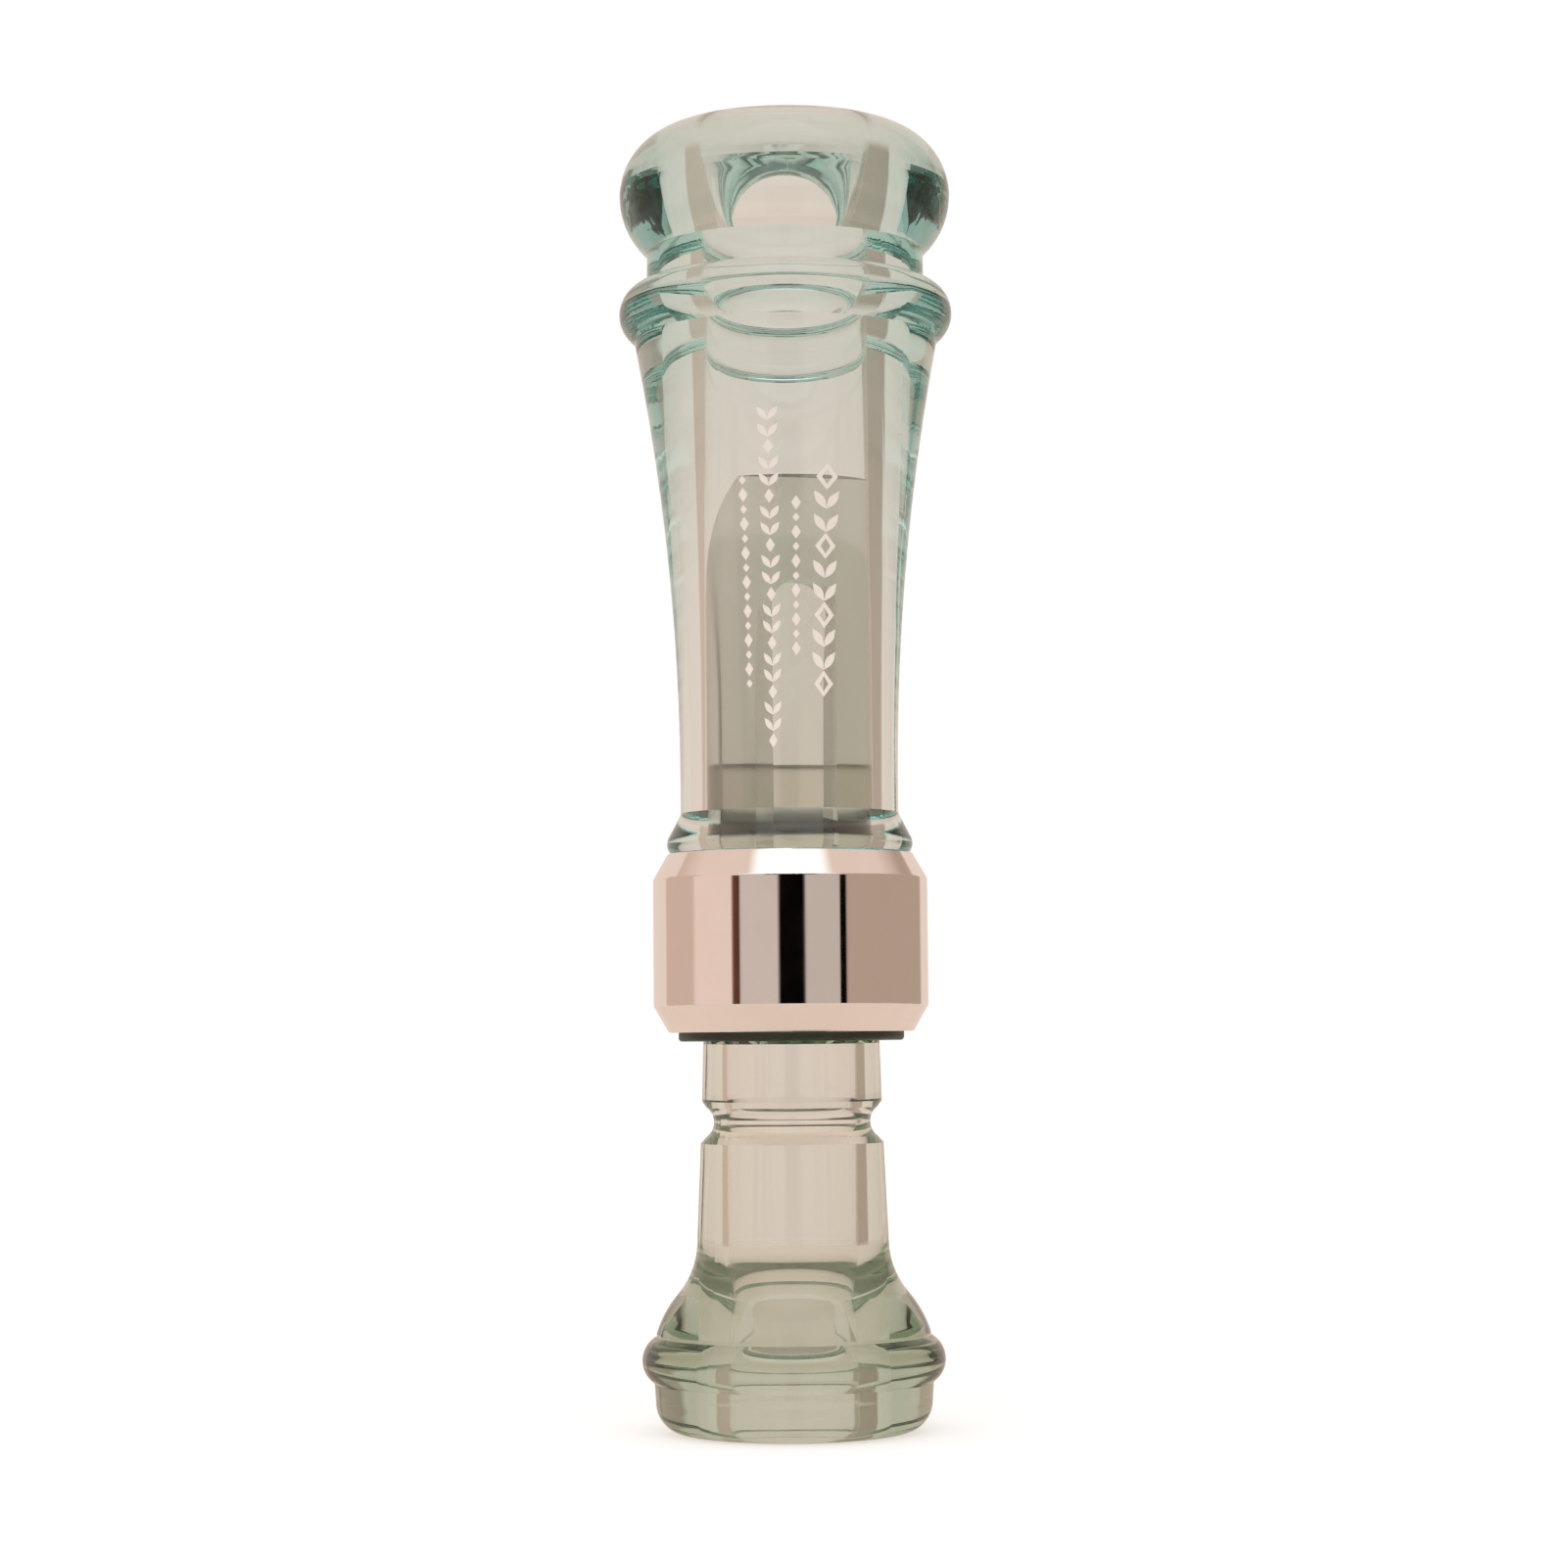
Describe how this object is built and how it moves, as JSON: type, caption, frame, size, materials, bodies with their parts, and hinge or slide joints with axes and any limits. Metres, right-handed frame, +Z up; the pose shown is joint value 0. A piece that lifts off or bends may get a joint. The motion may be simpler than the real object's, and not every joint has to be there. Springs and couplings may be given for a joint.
{
  "type": "duck call",
  "caption": "Clear turned acrylic duck call: flared barrel with metal band, plug-in insert with tone board, reed and wedge.",
  "frame": {"origin": "centre of the flat rim that the call stands on, on the call's axis", "axes": "+Z up the axis from the insert's open end to the mouthpiece; -Y is the side seen in the picture; the tone board's round back faces 16 degrees from -Y towards +X"},
  "size_m": [0.0382, 0.0382, 0.1487],
  "materials": {
    "acrylic": "clear, polished, faint sea-green tint",
    "polished_metal": "mirror polish, faint rose tone",
    "silicone": "translucent silicone, satin",
    "reed_film": "milky polyester film",
    "wedge_plastic": "frosted, translucent, pale sage"
  },
  "bodies": {
    "insert": {"insert": "acrylic", "wedge": "wedge_plastic"},
    "seal_rings": {"seal_ring_low": "silicone", "seal_ring_high": "silicone"},
    "barrel": {"barrel": "acrylic", "band": "polished_metal"},
    "reed": {"reed": "reed_film"}
  },
  "joints": [
    {"name": "barrel_turn", "type": "hinge", "parent": "insert", "child": "seal_rings", "pos_m": [0, 0, 0.05], "axis": [0, 0, 1], "continuous": true},
    {"name": "barrel_pull", "type": "slide", "parent": "seal_rings", "child": "barrel", "axis": [0, 0, 1], "range_m": [0, 0.0634]},
    {"name": "reed_flex", "type": "hinge", "parent": "insert", "child": "reed", "pos_m": [0.00011, -0.00039, 0.085], "axis": [0.9613, 0.2756, 0], "range_deg": [-3, 8.5], "stiffness_Nm_per_rad": 0.009, "deforming": ["reed"]}
  ]
}
